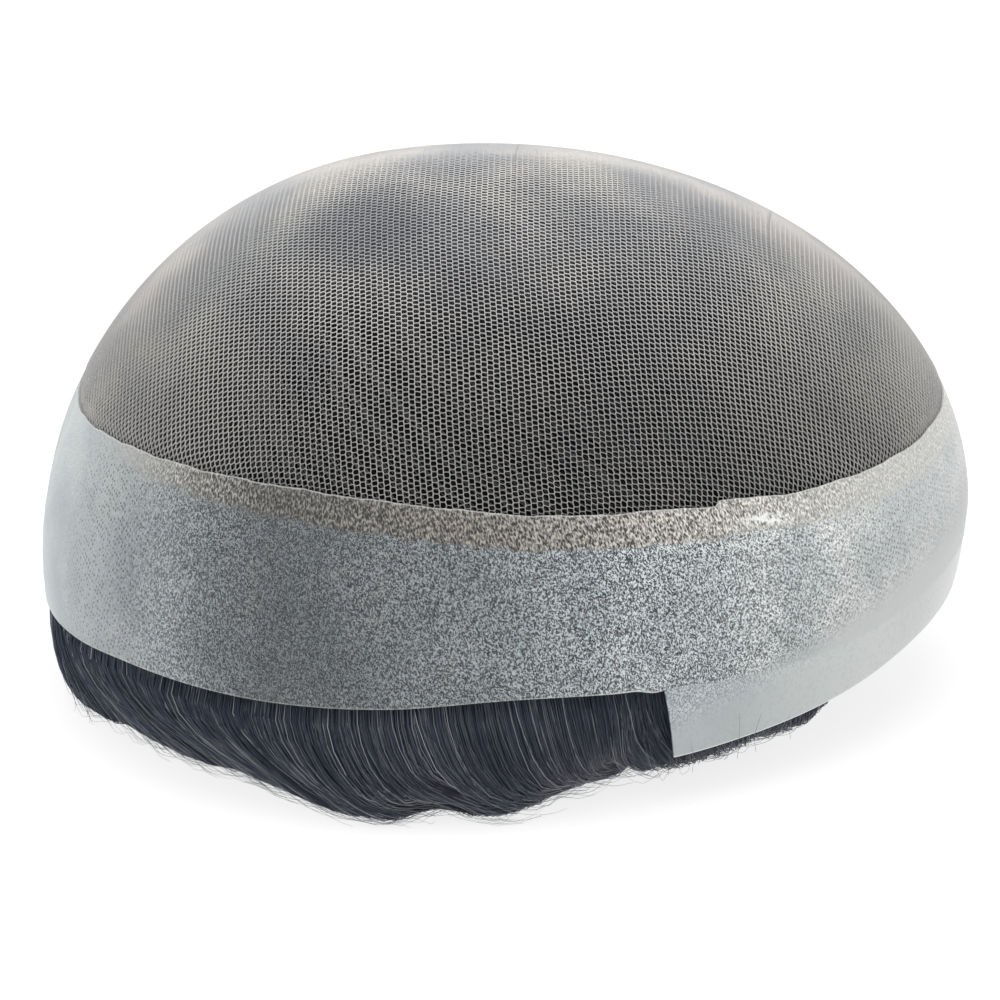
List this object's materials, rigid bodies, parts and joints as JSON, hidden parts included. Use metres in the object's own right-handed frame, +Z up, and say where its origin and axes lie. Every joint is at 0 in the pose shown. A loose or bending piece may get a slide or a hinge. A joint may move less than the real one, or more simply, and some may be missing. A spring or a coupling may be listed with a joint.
{
  "type": "toupee hairpiece, inside out",
  "caption": "Toupee turned scalp side out: a net crown lapped under a skin band, a plain strip across the front, and dark hair that lines it and curls in below as its foot.",
  "frame": {"origin": "middle of the piece's length and width, on the surface that its hair rests on", "axes": "+Z up through the crown; the front, with the plain strip, faces -Y; the two sides match across X"},
  "size_m": [0.1438, 0.1659, 0.0974],
  "materials": {
    "lace_net": "fine knotted net over dark hair",
    "skin_film": "thin satin film over dark knots",
    "clear_skin": "smooth clear film",
    "dark_hair": "straight blue-black hair with a soft sheen"
  },
  "bodies": {
    "root": {"lace_crown": "lace_net", "skin_band": "skin_film", "front_strip": "clear_skin", "crown_hair": "dark_hair", "rim_hair": "dark_hair"}
  },
  "joints": []
}
